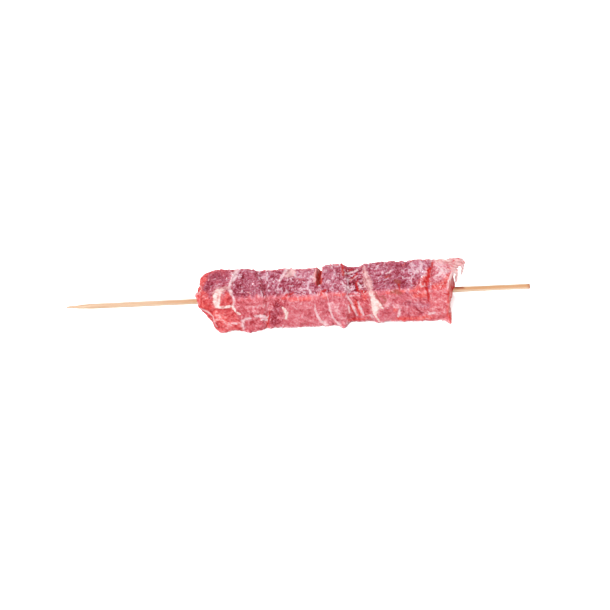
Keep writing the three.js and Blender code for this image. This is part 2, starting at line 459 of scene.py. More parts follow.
TISSUE_LINES = [
    [(-33.1, 20.6, 1), (-34.7, 15.7, 0.9), (-37.6, 9, 0.8), (-37.2, 4.2, 0.9), (-35.8, 1, 0.8),
     (-35.5, -3.4, 0.5), (-36, -6.7, 0.6)],
    [(-53.6, -6.8, 0.5), (-50.1, -9.8, 0.6), (-48, -13.7, 0.55), (-46.2, -18.6, 0.4),
     (-44.9, -21.6, 0.3)],
    [(-27.3, -14.6, 0.7), (-29.5, -14.9, 0.8), (-31, -16.5, 0.9), (-31.5, -20, 0.8),
     (-31, -23.8, 0.7)],
    [(-24, -13.5, 0.9), (-21, -13.8, 1.1), (-18.4, -14, 1)],
    [(-21, -16.2, 0.6), (-18.4, -15.8, 0.8)],
    [(-37, -18.6, 0.6), (-34.6, -19.2, 0.6)],
    [(-3.8, 24.4, 0.8), (-6.7, 19.8, 0.8), (-9.5, 14.5, 0.7), (-10.9, 12.2, 0.5)],
    [(-3.4, 22.5, 1.2), (-4.4, 18, 1.5), (-6.6, 15.4, 0.8)],
    [(-3.8, 23, 0.7), (-2.6, 18.8, 0.8), (-1.6, 15.4, 0.5)],
    [(7.4, -5.3, 0.2), (7.6, -9.7, 0.45), (8.8, -14.2, 0.6), (10.4, -18.1, 0.6), (13.4, -21.3, 1.1)],
    [(14.8, -6.2, 0.3), (15.2, -8.5, 0.6), (15.8, -12.4, 0.6), (17, -16.6, 0.35), (18.6, -19.6, 0.5),
     (21.2, -23.3, 1.1)],
    [(13.3, 1.9, 0.15), (14.6, -4.6, 0.2)],
    [(11.5, -22.8, 0.6), (15.6, -23.6, 0.5), (20.5, -24, 0.9)],
    [(-7, -22.4, 0.5), (0, -22.8, 0.6), (6, -22.8, 0.6)],
    [(25.1, -1.3, 0.4), (26.7, -5.1, 0.6), (28.6, -10.9, 0.6), (30.3, -16.1, 0.5)],
    [(30.6, -5.4, 0.4), (31.8, -10.5, 0.6), (33.8, -15.1, 0.5)],
    [(25.2, -7.5, 0.4), (26.2, -13.3, 0.4)],
    [(24.6, -1.2, 0.5), (27.8, -0.6, 0.4), (31.3, -1, 0.3)],
    [(24, 15.3, 0.4), (27.4, 16.7, 0.6), (31.7, 18.8, 0.5)],
    [(24.2, 11.3, 0.4), (27.8, 11.7, 0.6), (30.8, 14.2, 0.5)],
    [(23.5, 6.7, 0.4), (25.4, 4.6, 0.6), (26.1, 1.9, 0.5)],
    [(30.9, 9.2, 0.5), (32.6, 5.8, 0.6), (31.3, 3.8, 0.5)],
    [(35.3, 17.5, 0.4), (35.9, 12.5, 0.5)],
    [(36.4, 9.5, 0.4), (37.4, 4.5, 0.5), (37.8, 0.5, 0.7)],
    [(35.3, -16, 0.5), (37.6, -15.5, 0.5), (39, -18.1, 0.5)],
    [(46.7, 14.1, 0.4), (49.2, 16, 0.5)],
    [(53, -13.4, 0.7), (52.5, -17.8, 0.7)],
    [(69, -17.2, 0.7), (72, -16.3, 0.7)],
    [(63.6, 15.6, 0.8), (63.8, 14.2, 0.7)],
    [(75.9, 24.2, 0.8), (79, 23.4, 1), (82.2, 22.6, 0.9)],
    [(73.6, 20.9, 0.6), (75.1, 18.1, 0.8), (77.1, 16, 0.6)],
    [(77.3, 17.3, 0.6), (76.9, 14, 0.6), (74.4, 12.1, 0.8), (71.9, 10.3, 0.5)],
    [(84, 18, 0.8), (82.1, 12, 0.7), (80.6, 7.7, 0.9), (79.4, 4.5, 1.1), (78.5, 1.3, 0.7)],
]
FRESH_LINES = [
    [(-47.3, 24, 2.4), (-49.3, 20, 3.6), (-51, 14.5, 3.2), (-53, 8, 2.4), (-52.8, 3, 3.2),
     (-52, -4, 4.6), (-47.5, -11.5, 4.2), (-41, -17, 4)],
    [(-38.5, 2.5, 1.8), (-38.9, -3.5, 1.8)],
    [(-17.3, -14, 0.7), (-17.8, -21.5, 1.1)],
    [(-9, -0.6, 1), (-4, -1.2, 1.3), (1, -1.5, 1.2), (6, -1.2, 0.9)],
    [(53, -20, 1.4), (62, -20.6, 1.6), (70, -20, 1.2)],
    [(10.7, 1, 1.6), (12.5, -1.5, 1.4)],
    [(18, -0.6, 1.1), (23, -0.4, 1.1)],
    [(25.8, -19, 0.8), (30.4, -18.7, 0.9), (34.1, -18.3, 0.8)],
    [(29, -4.6, 0.9), (30, -9.7, 1), (31.9, -14.9, 0.8)],
    [(26, -6.5, 0.8), (28, -11.5, 0.9)],
    [(33.8, 1.6, 1.5), (34, -3.5, 1.2)],
    [(46.3, -0.5, 1.3), (51.5, 0.5, 1.8), (54.8, 0, 1.2)],
    [(50.8, -13.2, 0.9), (50.6, -14, 0.9)],
    [(59, 0, 1.4), (64, 2.5, 3), (66.6, 7, 2.6), (68.8, 12, 1.8), (69.6, 16, 1)],
    [(60.4, -3.5, 1.4), (66.2, -3.5, 2.4)],
    [(71.5, 2.5, 2.6), (75.9, 3.5, 2.4), (78.5, 8.5, 1.4), (80.9, 12.3, 0.9)],
    [(80.1, -12, 1.2), (80.5, -22.5, 1.6)],
]
DARK_LINES = [
    [(-50.3, 6.8, 1.2), (-49.3, 9.5, 1.7), (-48.6, 12.2, 1.3)],
    [(-47.5, 9.5, 1.4), (-45.5, 16.5, 2.4), (-40.5, 14, 2.6)],
    [(-31.2, 16.5, 2.4), (-31.6, 9.5, 3.2), (-31.4, 3.5, 2.6)],
    [(-12.8, -6, 2), (-13.8, -11.7, 3), (-14.2, -18.5, 2.6)],
    [(-10.6, 8.6, 1.2), (-12.8, 4.2, 1.6), (-11.4, 1.4, 1.2)],
    [(-8.8, 12.1, 0.9), (-6.3, 9.6, 1)],
    [(30.4, 8, 2), (32.6, 3, 1.8)],
    [(49, 8.6, 2.2), (54.3, 9, 2.2)],
    [(53.6, 15.5, 1.4), (50.8, 4.5, 1.6)],
    [(56, -7, 0.6), (59.7, -10.7, 0.8), (62.6, -14, 0.8), (65.5, -16.7, 0.6)],
    [(57, -9.5, 1.6), (63, -10.5, 1.8), (68, -12, 1.4)],
]
PALE_LINES = [
    [(-1, 16.5, 1.8), (3, 11, 2), (7.5, 14, 2)],
    [(16.8, -7, 1.6), (20.5, -12, 2), (21.5, -17, 1.6)],
    [(-14.8, -9, 0.5), (-12.6, -13.5, 0.5)],
    [(-12.8, -8, 0.4), (-11.2, -12.5, 0.5)],
    [(-15.6, -12.5, 0.4), (-13.8, -17.5, 0.5)],
    [(-47, -10.5, 1.6), (-43.5, -15, 2), (-38.5, -20.5, 1.6)],
    [(-44.5, 9.6, 0.6), (-42.4, 10.2, 0.7), (-40.7, 12.1, 0.5)],
    [(-29.2, -6.5, 0.8), (-24.4, -6.1, 1), (-19.1, -6.4, 0.8)],
    [(-28.2, -9.5, 0.8), (-24, -10.5, 1)],
    [(-41, -13.4, 1), (-39, -15.7, 1.2)],
    [(-18.5, 17, 2.2), (-14, 12, 2.4)],
    [(-0.7, 4.6, 1), (3.2, 8.2, 1.2), (6.7, 4.1, 1)],
    [(61.9, 23.2, 1), (60, 14.6, 1.2), (58.6, 6.6, 1)],
    [(66.5, 22, 2.3), (66, 14, 2)],
    [(73.5, 22, 3), (78, 18, 3.6), (76, 12, 3)],
    [(43, -12.5, 2), (47, -8, 2), (52, -12, 1.6)],
    [(57, -9.5, 1.6), (63, -10.5, 1.8), (68, -12, 1.4)],
]
CRACKS = [
    [(-16.3, -7.5, 0.25), (-16.9, -11, 0.4), (-16.8, -14.2, 0.25), (-17.8, -18.4, 0.35),
     (-18.8, -22.6, 0.6)],
    [(-7.8, 1.2, 0.6), (-5.1, 2.9, 0.8), (-3.8, 3.8, 0.5)],
    [(-1.7, 14.4, 0.3), (0.9, 13.4, 0.4), (2.6, 14.5, 0.3)],
    [(12, 3, 0.8), (13.6, 4.2, 0.6)],
    [(11.3, 21, 0.5), (10.3, 15, 0.5), (9.6, 10.5, 0.4)],
    [(24, 23.4, 0.8), (23.6, 19.6, 0.7), (23.4, 14, 0.5)],
    [(24.9, 19.9, 0.4), (26.6, 18.4, 0.5), (29, 20, 0.4)],
    [(26.9, 10.4, 0.4), (28.9, 13.2, 0.5), (31.5, 16, 0.5)],
    [(31.4, 11.5, 0.4), (30, 7.5, 0.6), (30.8, 3, 0.7), (33.8, 2, 0.9)],
    [(28.9, -4.8, 0.3), (29.9, -9.7, 0.4), (31.6, -14.4, 0.3)],
    [(26.3, -7.8, 0.3), (28.2, -13, 0.3)],
    [(46.8, 12, 0.5), (47.4, 12.6, 0.5)],
    [(52.4, 5.8, 0.5), (52.7, 1.5, 0.4)],
    [(72.5, 21.8, 0.6), (71.7, 18.5, 0.7), (70.1, 15.2, 1.3), (69.2, 11.3, 1.1), (68.1, 8, 0.9),
     (67, 2.1, 0.9), (67.5, -1.7, 0.6), (68.1, -5.5, 0.9), (68.3, -8.1, 0.5)],
    [(76.7, -2.8, 0.4), (79, -3.8, 0.6), (80.4, -5.8, 0.4)],
]
SHEER_LINES = [
    [(-39.6, 7.4, 1.4), (-42.2, 6.6, 1.6), (-43.6, 2, 2.6)],
    [(35.2, 20.5, 0.8), (35.6, 14.5, 1.4), (36.3, 9.5, 2), (36.7, 4.5, 2.1), (37.4, -0.3, 1.7)],
    [(-3.4, 22.5, 1.6), (-4.6, 18, 2.2), (-6.6, 15.4, 1.2)],
    [(9.6, 20, 0.9), (8.6, 15, 1.1), (7.9, 11, 0.8)],
    [(75.5, 23, 1.6), (82, 21, 1.6)],
]
SMOOTH_LINES = [
    [(-9.3, -8.3, 1), (-7.9, -11.3, 1.6), (-8.3, -15.8, 1)],
    [(38.5, -5, 1.6), (39.9, -9.3, 2.6), (39.9, -12.3, 2.2), (42, -20, 1.2)],
    [(-47, 14, 2.6), (-41, 17.5, 3)],
    [(-25.4, 19, 1.8), (-25.4, 12, 2), (-26.6, 3, 2.2)],
    [(0.5, 18.5, 2), (4, 17.5, 2.4), (8, 14.5, 2)],
    [(15.5, 19, 1.8), (15.5, 14, 1.8)],
]
BROWN_LINES = [
    [(42.2, -3.8, 0.6), (43.6, -3.1, 0.6), (45, -5.6, 0.7), (44.4, -8.4, 0.6), (42.8, -8.2, 0.5)],
    [(39, 1.2, 0.5), (41.8, -5.6, 0.5), (44.5, -11, 0.5)],
    [(48.2, -0.6, 1.1), (50.8, 1.2, 1.3), (52.6, -1.6, 1.1)],
    [(51.6, 8.4, 1.3), (52.4, 5.4, 1.2)],
    [(46.4, 12.2, 0.8), (48, 12.6, 0.8)],
    [(24.2, 20.6, 0.7), (23.8, 14, 0.6)],
]

# Soft corners and edges that are drawn out or pressed in: the slice, the place (x, y, z from the skewer's
# axis), how far it is drawn, and over how far around it.
DRAWN_CORNERS = [
    (1, (-51.3, 4.8, 12), (-2, 0, 0), 6.5),
    (1, (-56.1, -7.6, 12), (-1.3, 0, 0.3), 2.6),
    (1, (-56, -12, 11), (1.6, 0, 0), 5),
    (1, (-51.5, -12.4, -0.5), (2.2, 0, 0), 7),
    (1, (-49.5, -12, -6), (1.6, 0, 0.4), 4.5),
    (1, (-41.8, -12, -12), (0, -1.8, 0), 5),
    (1, (-40, 12, 12), (0, 0.7, 0.5), 9),
    (2, (-26.5, -12, -12), (0, -1.8, 0), 5.5),
    (2, (-29, 12, 12), (0, 0.9, 0.6), 11),
    (4, (-3.9, 10.8, 11.5), (0.3, 1.3, 1.8), 1.6),
    (4, (-1.2, 10.8, 11.4), (0.3, 0.6, 0.8), 0.9),
    (5, (12.6, 12.5, 12.5), (1.4, 0, -0.8), 2.6),
    (5, (23.6, 12, 12), (0.2, 0.4, 0.6), 1.4),
    (5, (23.5, -12.4, -12), (-0.3, -3.2, 0), 4.6),
    (9, (73.2, 13.4, 11.4), (0, 0.5, 0.7), 1.3),
    (9, (81, -12, -11.8), (0.4, -3.8, 0), 4.6),
]


def cut_terms(y, z):
    """What the frame's cut faces are made of: a warped plane, a swelling, and a gape at the back top."""
    gape = np.clip((y + z) / (2 * HALF_SECTION), 0, None) ** 2
    return np.stack([np.ones_like(y), y, z, y * z, y * y + z * z, gape], -1)


def cut_faces(number):
    """A slice's two cut faces, fitted to the frame's own: each gives x for a place across the bar."""
    corners = np.array([tuple(v.co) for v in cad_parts[f"beef_slice_{number}"].data.vertices]) / MM
    corners[:, 2] -= AXIS_HEIGHT
    inner = corners[np.hypot(corners[:, 1], corners[:, 2]) < CUT_FACE_RADIUS]
    middle = inner[:, 0].mean()
    faces = []
    for side in (-1, 1):
        face = inner[(inner[:, 0] - middle) * side > 0]
        faces.append(np.linalg.lstsq(cut_terms(face[:, 1], face[:, 2]), face[:, 0], rcond=None)[0])
    return faces


faces = [cut_faces(number) for number in range(1, SLICE_COUNT + 1)]
CUTS = [faces[0][0]]
CUTS += [(before[1] + beyond[0]) / 2 for before, beyond in zip(faces, faces[1:])]
CUTS += [faces[-1][1] - np.array([LAST_TRIM, 0, 0, 0, 0, 0])]


def opened(cut, y, z, slope):
    """How far two slices have come apart at a place on their cut: 0 pressed together, 1 fully parted."""
    if cut not in PARTED:
        return np.zeros_like(y)
    _, start, floor, back_floor = PARTED[cut]
    floor = floor + (back_floor - floor) * np.clip((y - start) / (HALF_SECTION - start), 0, 1)
    return step(start - 1, start + 1, y) * step(floor - PARTED_EASE, floor - PARTED_EASE + slope, z)


def bulging(y, z):
    """How far the last slice bulges out at a place on its end: 1 at the middle of the bulge."""
    middle_y, middle_z = BULGE_MIDDLE
    return np.exp(-((y - middle_y) ** 2 + (z - middle_z) ** 2) / BULGE_AROUND**2)


def cut_x(cut, y, z, side):
    """X of a slice's face at a cut, for the slice beyond the cut (side 1) or the one before it (-1)."""
    spot = np.stack([np.full_like(y, cut * 17.0), y, z], -1).reshape(-1, 3)  # no two cuts stray alike
    stray = layered(spot, STRAY).reshape(np.shape(y))
    apart = 0.0
    if 0 < cut < SLICE_COUNT:
        width = PARTED.get(cut, (0.0,))[0]
        apart = opened(cut, y, z, PARTED_SLOPE[side]) * (width / 2 + PRESS) - PRESS
    if cut == SLICE_COUNT:
        apart = -BULGE * bulging(y, z)
    return cut_terms(y, z) @ CUTS[cut] + stray + side * apart


def reach(number, angle):
    """How far a slice reaches from the skewer at an angle round it: a square with round corners."""
    low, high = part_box(f"beef_slice_{number}")
    look = SLICES[number - 1]
    turned = angle - math.radians(look["turn"])
    across = np.cos(turned)
    upward = np.sin(turned)
    to_side = np.where(across > 0, high.y, -low.y) / MM
    to_level = np.where(upward > 0, high.z / MM - AXIS_HEIGHT, AXIS_HEIGHT - low.z / MM)
    power = look["square"]
    return (np.abs(across / to_side) ** power + np.abs(upward / to_level) ** power) ** (-1 / power)


def outline_angles(number):
    """Angles round the skewer at which the points of a slice's outline lie evenly spaced."""
    fine = np.linspace(0, 2 * math.pi, 2401)
    away = reach(number, fine)
    walked = np.hypot(np.diff(away * np.cos(fine)), np.diff(away * np.sin(fine)))
    walked = np.concatenate([[0], np.cumsum(walked)])
    stops = np.linspace(0, walked[-1], int(walked[-1] / SPACING), endpoint=False)
    return np.interp(stops, walked, fine)


def edge_radius(outline, least, most, draw):
    """How round the edges of a cut face are at each point of the outline: uneven, from least to most."""
    return least + (most - least) * step(-0.5, 0.5, lumps(outline, 4.0, draw))


def slice_rings(number):
    """Rings over a slice, from the middle of its first cut face, out, along its sides, and in again."""
    angles = outline_angles(number)
    away = reach(number, angles)
    first_step = (reach(max(number - 1, 1), angles) - away) / 2
    last_step = (reach(min(number + 1, SLICE_COUNT), angles) - away) / 2

    def ring(radius, share):
        y = radius * np.cos(angles)
        z = radius * np.sin(angles)
        start = cut_x(number - 1, y, z, 1)
        end = cut_x(number, y, z, -1)
        return np.stack([start + (end - start) * share, y, z + AXIS_HEIGHT], -1)

    own = np.full_like(away, number * 7.0)  # so that no two slices share their unevenness
    outline = np.stack([own, away * np.cos(angles), away * np.sin(angles)], -1)
    radii = [edge_radius(outline, *SEAM_ROUND, 11), edge_radius(outline + 31.0, *SEAM_ROUND, 11)]
    if number == 1:
        radii[0] = edge_radius(outline, *FIRST_END_ROUND, 12)
    if number == SLICE_COUNT:
        radii[1] = edge_radius(outline, *LAST_END_ROUND, 12)

    length = ring(away, 1)[:, 0] - ring(away, 0)[:, 0]
    side_rings = int(length.max() / SPACING)
    rings = []
    first_cap = SEAM_RINGS if number > 1 else END_RINGS
    last_cap = SEAM_RINGS if number < SLICE_COUNT else END_RINGS
    for share in np.linspace(FACE_MIDDLE, 1, first_cap, endpoint=False):
        rings.append(ring((away + first_step - radii[0]) * share, 0))
    for share in np.linspace(0, 1, side_rings):
        from_first = share * length
        from_last = (1 - share) * length
        radius = away + first_step * step(STEP_EASE, 0, from_first)
        radius = radius + last_step * step(STEP_EASE, 0, from_last)
        for turn, distance in zip(radii, (from_first, from_last)):
            left = 1 - np.clip(distance / turn, 0, 1)
            radius = radius - turn * (1 - np.sqrt(1 - left**2))
        rings.append(ring(radius, share))
    for share in np.linspace(1, FACE_MIDDLE, last_cap + 1)[1:]:
        rings.append(ring((away + last_step - radii[1]) * share, 1))
    return np.stack(rings)


FAR = 99.0  # stands for the distance from a mark or a cut where there is none
THIN_MARK = 0.6  # how strong the thinnest mark is
MARK_GAIN = 0.45  # how much stronger it is with each millimetre of half width


def marked(spots, lines, wander, soft):
    """How far each spot (x, up) lies in a mark: 0 outside, and up to 1 inside. A thin mark is faint."""
    nearest = np.full(len(spots), FAR)
    width = np.zeros(len(spots))
    for line in lines:
        stops = np.array(line)
        for start, end in zip(stops, stops[1:]):
            run = end[:2] - start[:2]
            share = np.clip((spots - start[:2]) @ run / (run @ run), 0, 1)
            half = start[2] + share * (end[2] - start[2])
            away = np.linalg.norm(spots - start[:2] - share[:, None] * run, axis=1) / half
            width = np.where(away < nearest, half, width)
            nearest = np.minimum(nearest, away)
    return step(1 + soft, 1 - soft, nearest + wander) * np.clip(THIN_MARK + MARK_GAIN * width, 0, 1)


def curly(places, size, draw, thin):
    """Thin winding lines, 1 along their middle, that come and go."""
    winding = step(thin, 0.02, np.abs(lumps(places, size, draw)))
    return winding * step(-0.25, 0.35, lumps(places, size * 1.3, draw + 1))


def from_cuts(number, places):
    """How far points lie from a slice's first cut face and from its last."""
    from_axis = places[:, 2] - AXIS_HEIGHT
    from_first = places[:, 0] - cut_x(number - 1, places[:, 1], from_axis, 1)
    from_last = cut_x(number, places[:, 1], from_axis, -1) - places[:, 0]
    return from_first, from_last


def drawn_out(number, places):
    """How far points are carried along with a slice's drawn corners."""
    carried = np.zeros_like(places)
    for drawn_slice, corner, pull, around in DRAWN_CORNERS:
        if drawn_slice == number:
            away = np.linalg.norm(places - (0, 0, AXIS_HEIGHT) - corner, axis=1)
            carried += np.array(pull) * step(around, 0, away)[:, None]
    return carried


def bundled(places, look):
    """Places drawn together along the fibres and the tissue: even lumps there are long bundles here."""
    fibre = np.array([look["lean"], 0, 1.0])
    fibre /= np.linalg.norm(fibre)
    drawn = math.radians(look["drawn"])
    slant = np.array([math.cos(drawn), math.sin(drawn), 0])
    packed = places + 0.6 * np.stack([lumps(places, 2.6, 20 + k) for k in range(3)], -1)
    packed = packed - fibre * (packed @ fibre)[:, None] * look["long"]
    return packed - slant * (packed @ slant)[:, None] * 0.4


PARTED_RED = 2.5  # how far below the floor of a parted cut the meat is still red
DEEP_IN_GAP = (11.0, 8.0)  # the heights over the skewer between which a parted cut's lip turns deep
EDGE_REACH = (3.0, 0.6)  # how far from a long edge its looks end, and how near to it they are whole
TABLE_GAP = 0.02  # between the lowest meat and the table
SWELLS = ((0.5, 9.0, 0), (0.36, 4.2, 1), (0.22, 1.9, 2))
EDGE_SWELLS = ((0.45, 2.6, 3), (0.42, 1.3, 4), (0.2, 0.7, 5))
RAGGED = ((2.0, 3.4, 8), (1.0, 1.1, 7))  # the border between the meat's top and front
WANDER = ((0.6, 2.2, 30), (0.55, 1.0, 31), (0.3, 0.6, 32))  # the edges of the marks, in half widths
THIN_FAT = ((1, 1.3, 46), (0.4, 0.6, 47))
EDGE_HIGHLIGHT_PATCHES = ((1, 2.0, 52), (0.5, 0.9, 53))

# How much fat and tissue shows in the winding veins and in the marks.
VEIN_FAT = 0.3
SHEER_FAT = 0.42
VEIN_TISSUE = 0.6
LINE_TISSUE = 0.87

# How far each feature stands proud of the meat, and how much lighter it is. Below 0, it lies deep and is
# darker.
PROUD = {"coarse": 0.16, "medium": 0.2, "small": 0.12, "flecks": 0.22, "gaps": -0.26}
FAT_PROUD = 0.15
TISSUE_PROUD = 0.12
CRACK_DEPTH = 0.3
LIGHTER = {"coarse": 0.14, "medium": 0.22, "small": 0.2, "flecks": 0.46, "glint_specks": 0.36, "gaps": -0.4}

# How light the muscle is, from 0 to 1, and what places and marks add to that or take from it.
MIDDLE_TONE = 0.5
BROAD_TONE = 0.09
PALE_TONE = 0.26
DARK_TONE = 0.16  # on the top, and as much again on the front
# in a parted cut: painted light on its lip, and painted shade in its depth
LIT_LIP_TONE = 0.12
DEEP_SHADE_TONE = 0.2
# a painted highlight along the long edges
EDGE_HIGHLIGHT_TONE = 0.16
FOOT_HIGHLIGHT_TONE = 0.3  # a painted highlight along the edges near the table

# How much blood and how much fresh red there is in each place.
SEAM_BLOOD = (0.15, 0.35)  # everywhere, and more in patches
GAP_BLOOD = 0.5
# in the depth of a parted cut: blood, and painted shade
DEEP_BLOOD_AND_SHADE = 0.25
# on the last slice's end and round its bulge: blood, and painted shade on that end
END_BLOOD_AND_SHADE = 0.1
BULGE_BLOOD_AND_SHADE = 0.8
FRESH_RED = 0.8
END_RED = 0.85
UNSEEN_RED = 0.5  # in patches

beef_pieces = []
for number, look in enumerate(SLICES, 1):
    piece = skin(f"sliced_beef_{number}", slice_rings(number))
    places, facing = mesh_places(piece)
    own = places + (0, 0, number * 40.0)  # so that no two slices share their unevenness
    low, high = (np.array(corner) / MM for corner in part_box(f"beef_slice_{number}"))

    # Where each point lies: how far from a seam, from a bare end and from parted meat, on which side, how
    # near to the long edges, and how far up from the ridge.
    seam = np.full(len(places), FAR)
    from_end = np.full(len(places), FAR)
    apart = np.zeros(len(places))
    for cut, from_cut in zip((number - 1, number), from_cuts(number, places)):
        if 0 < cut < SLICE_COUNT:
            seam = np.minimum(seam, from_cut)
        else:
            from_end = np.minimum(from_end, from_cut)
        height = places[:, 2] - AXIS_HEIGHT + PARTED_RED
        parted = opened(cut, places[:, 1], height, PARTED_HUE_SLOPE)
        apart = np.maximum(apart, parted * step(0.7, 0.0, from_cut))
    deep = step(*DEEP_IN_GAP, places[:, 2] - AXIS_HEIGHT)
    outside = step(-0.1, 0.5, seam)
    shown = step(-0.2, 0.3, facing @ (0, -0.7, 0.7)) * outside * step(0.1, 0.5, from_end)
    unseen = 1 - shown
    above_ridge = np.maximum(places[:, 1] - low[1], 0) + np.minimum(places[:, 2] - high[2], 0)
    spots = np.stack([places[:, 0], above_ridge], 1)
    to_side = np.minimum(places[:, 1] - low[1], high[1] - places[:, 1])
    to_level = np.minimum(places[:, 2] - low[2], high[2] - places[:, 2])
    edge = step(*EDGE_REACH, np.abs(to_side) + np.abs(to_level) + lumps(own, 2.5, 9))

    # The soft meat swells unevenly, most along its edges, and its corners are drawn out.
    swell = layered(places, SWELLS) + edge * layered(places, EDGE_SWELLS)
    moved = places + facing * (swell * (0.15 + 0.85 * outside))[:, None]
    move_points(piece, moved + drawn_out(number, places))
    swollen, facing = mesh_places(piece)

    # Whether the muscle is cut across (1) or along (0) there, its bundles, and the tissue and the gaps
    # between them. The pale flecks of tissue also stand in for painted glints of the wet top.
    ragged = layered(own, RAGGED) + 2.4 * lumps(own * (1, 0.3, 0.3), 1.1, 10)
    across = step(-1.6, 3.0, to_side - to_level + ragged) * step(0.9, 0.6, np.abs(facing[:, 0]))
    packed = bundled(own, look)
    medium = lumps(packed, 1.7, 22)
    small = lumps(packed, 0.9, 23)
    flecks = np.maximum(curly(packed, 2.6, 24, 0.2), 0.85 * curly(packed, 1.5, 26, 0.24))
    flecks *= 0.4 + 0.6 * across
    gaps = np.maximum(curly(packed, 2.4, 28, 0.18), 0.8 * curly(packed, 1.4, 33, 0.24))
    gaps *= 0.6 + 0.4 * across
    features = dict(coarse=lumps(packed, 3.4, 21), medium=medium, small=small, flecks=flecks, gaps=gaps)

    # The marks on the two sides that show, and winding veins on the rest.
    wander = layered(own, WANDER)
    patchy = 0.9 + 0.25 * medium + 0.25 * small + 0.15 * lumps(own, 3.0, 42)
    smooth = marked(spots, SMOOTH_LINES, wander, 0.9) * shown
    thinned = (1 - smooth) * step(-0.3, 0.5, layered(own, THIN_FAT))
    sheet = np.abs(lumps(own * (1, 1, 0.35), 11.0, 40) + 0.03 * lumps(own, 1.4, 41))
    veins = step(0.07, 0.01, sheet) * step(-0.3, 0.3, lumps(own, 8.0, 43)) * unseen * outside
    fat = marked(spots, FAT_LINES, wander * 0.6, 0.4) * shown * (1 - 0.4 * thinned)
    fat = np.maximum(fat, VEIN_FAT * veins * step(0.0, 0.4, lumps(own, 5.0, 44)))
    fat = np.maximum(fat, SHEER_FAT * marked(spots, SHEER_LINES, wander, 0.5) * shown) * patchy
    tissue = LINE_TISSUE * marked(spots, TISSUE_LINES, wander * 0.9, 0.6) * shown
    tissue = np.maximum(tissue, VEIN_TISSUE * veins) * patchy
    fat = fat * (1 - apart)
    tissue = tissue * (1 - apart)
    crack = marked(spots, CRACKS, wander * 0.6, 0.5) * shown
    fresh = marked(spots, FRESH_LINES, wander, 0.8) * shown
    dark = marked(spots, DARK_LINES, wander, 0.5) * shown
    pale = marked(spots, PALE_LINES, wander, 0.9) * shown
    brown = marked(spots, BROWN_LINES, wander, 0.6) * shown
    across = np.maximum(across, dark * 0.5)

    # The surface: bundles, flecks of tissue and fat stand proud, and gaps and cracks lie deep.
    relief = sum(height * features[name] for name, height in PROUD.items())
    relief *= (0.8 + 0.4 * across) * (1 - 0.6 * np.clip(fat, 0, 1)) * (1 - 0.6 * smooth)
    relief += FAT_PROUD * fat + TISSUE_PROUD * tissue - CRACK_DEPTH * crack
    moved = swollen + facing * (relief * (0.1 + 0.9 * outside))[:, None]
    moved[:, 2] = np.maximum(moved[:, 2], TABLE_GAP)
    move_points(piece, moved)

    # How light or dark the muscle is, how wet, how bloody and how red.
    marbled = (look["front"] + (look["top"] - look["front"]) * across) * (1 - 0.75 * smooth)
    # Small pale specks, mostly on the top: painted glints of the wet meat.
    features["glint_specks"] = step(0.3, 0.7, lumps(own, 0.75, 45)) * (0.3 + 0.7 * across)
    grain = sum(shade * features[name] for name, shade in LIGHTER.items()) - 0.04
    tone = MIDDLE_TONE + look["light"] + BROAD_TONE * lumps(own, 6.5, 50) + marbled * grain
    # A parted cut is painted lighter at its lip and darker in its depth, as light and shade.
    tone += PALE_TONE * pale - DARK_TONE * (2 - across) * dark + apart * (LIT_LIP_TONE - DEEP_SHADE_TONE * deep)
    # A painted highlight along the long edges, in patches.
    tone += EDGE_HIGHLIGHT_TONE * edge * step(-0.3, 0.5, layered(own, EDGE_HIGHLIGHT_PATCHES))
    # A painted highlight along the edges near the table.
    tone += FOOT_HIGHLIGHT_TONE * edge * step(4.0, 1.0, places[:, 2])
    wet = across * step(0.3, 0.9, flecks + 0.5 * medium) * look["wet"]
    everywhere, in_patches = SEAM_BLOOD
    blood = step(0.6, 0.0, seam) * (everywhere + in_patches * step(0.1, 0.6, lumps(own, 4.0, 60)))
    # A parted cut is bloody, most in its depth, where the blood also paints shade.
    blood = np.maximum(blood, np.maximum(apart * (GAP_BLOOD + DEEP_BLOOD_AND_SHADE * deep), crack))
    # The last slice's end is bloody round its bulge at the skewer; its dark red also paints the shade on
    # that end.
    if number == SLICE_COUNT:
        around_stick = bulging(places[:, 1], places[:, 2] - AXIS_HEIGHT)
        bloody_and_shaded = END_BLOOD_AND_SHADE + BULGE_BLOOD_AND_SHADE * step(0.0, 0.2, around_stick)
        blood = np.maximum(blood, bloody_and_shaded * step(0.6, 0.15, from_end))
    red = np.maximum(look["red"] * (1 - 0.8 * across), FRESH_RED * fresh) * (1 - dark)
    red = np.maximum(red, apart)
    red = np.maximum(red, END_RED * step(1.4, 0.3, from_end))
    red = np.maximum(red, UNSEEN_RED * unseen * step(0.1, 0.6, lumps(own, 7.0, 61)))
    # The share of the darker, lilac muscle cut across: partly its own colour and age, partly painted
    # shade and sheen on the top.
    keep(piece, across=across * look["aged_and_shaded"], edge=edge, wet=wet)
    keep(piece, fat=fat, tissue=tissue, tone=tone, blood=blood, red=red, brown=brown)
    beef_pieces.append(piece)

beef = bpy.data.materials.new("raw beef")
beef.use_nodes = True
tree = beef.node_tree
shader = tree.nodes["Principled BSDF"]
BEEF_FAT = from_srgb(255, 238, 233)
FAT_EDGE = from_srgb(242, 176, 172)
TISSUE = from_srgb(255, 222, 226)
RIDGE_HIGHLIGHT = from_srgb(250, 134, 142)
BLOOD = from_srgb(206, 10, 12)
BROWN = from_srgb(172, 72, 58)

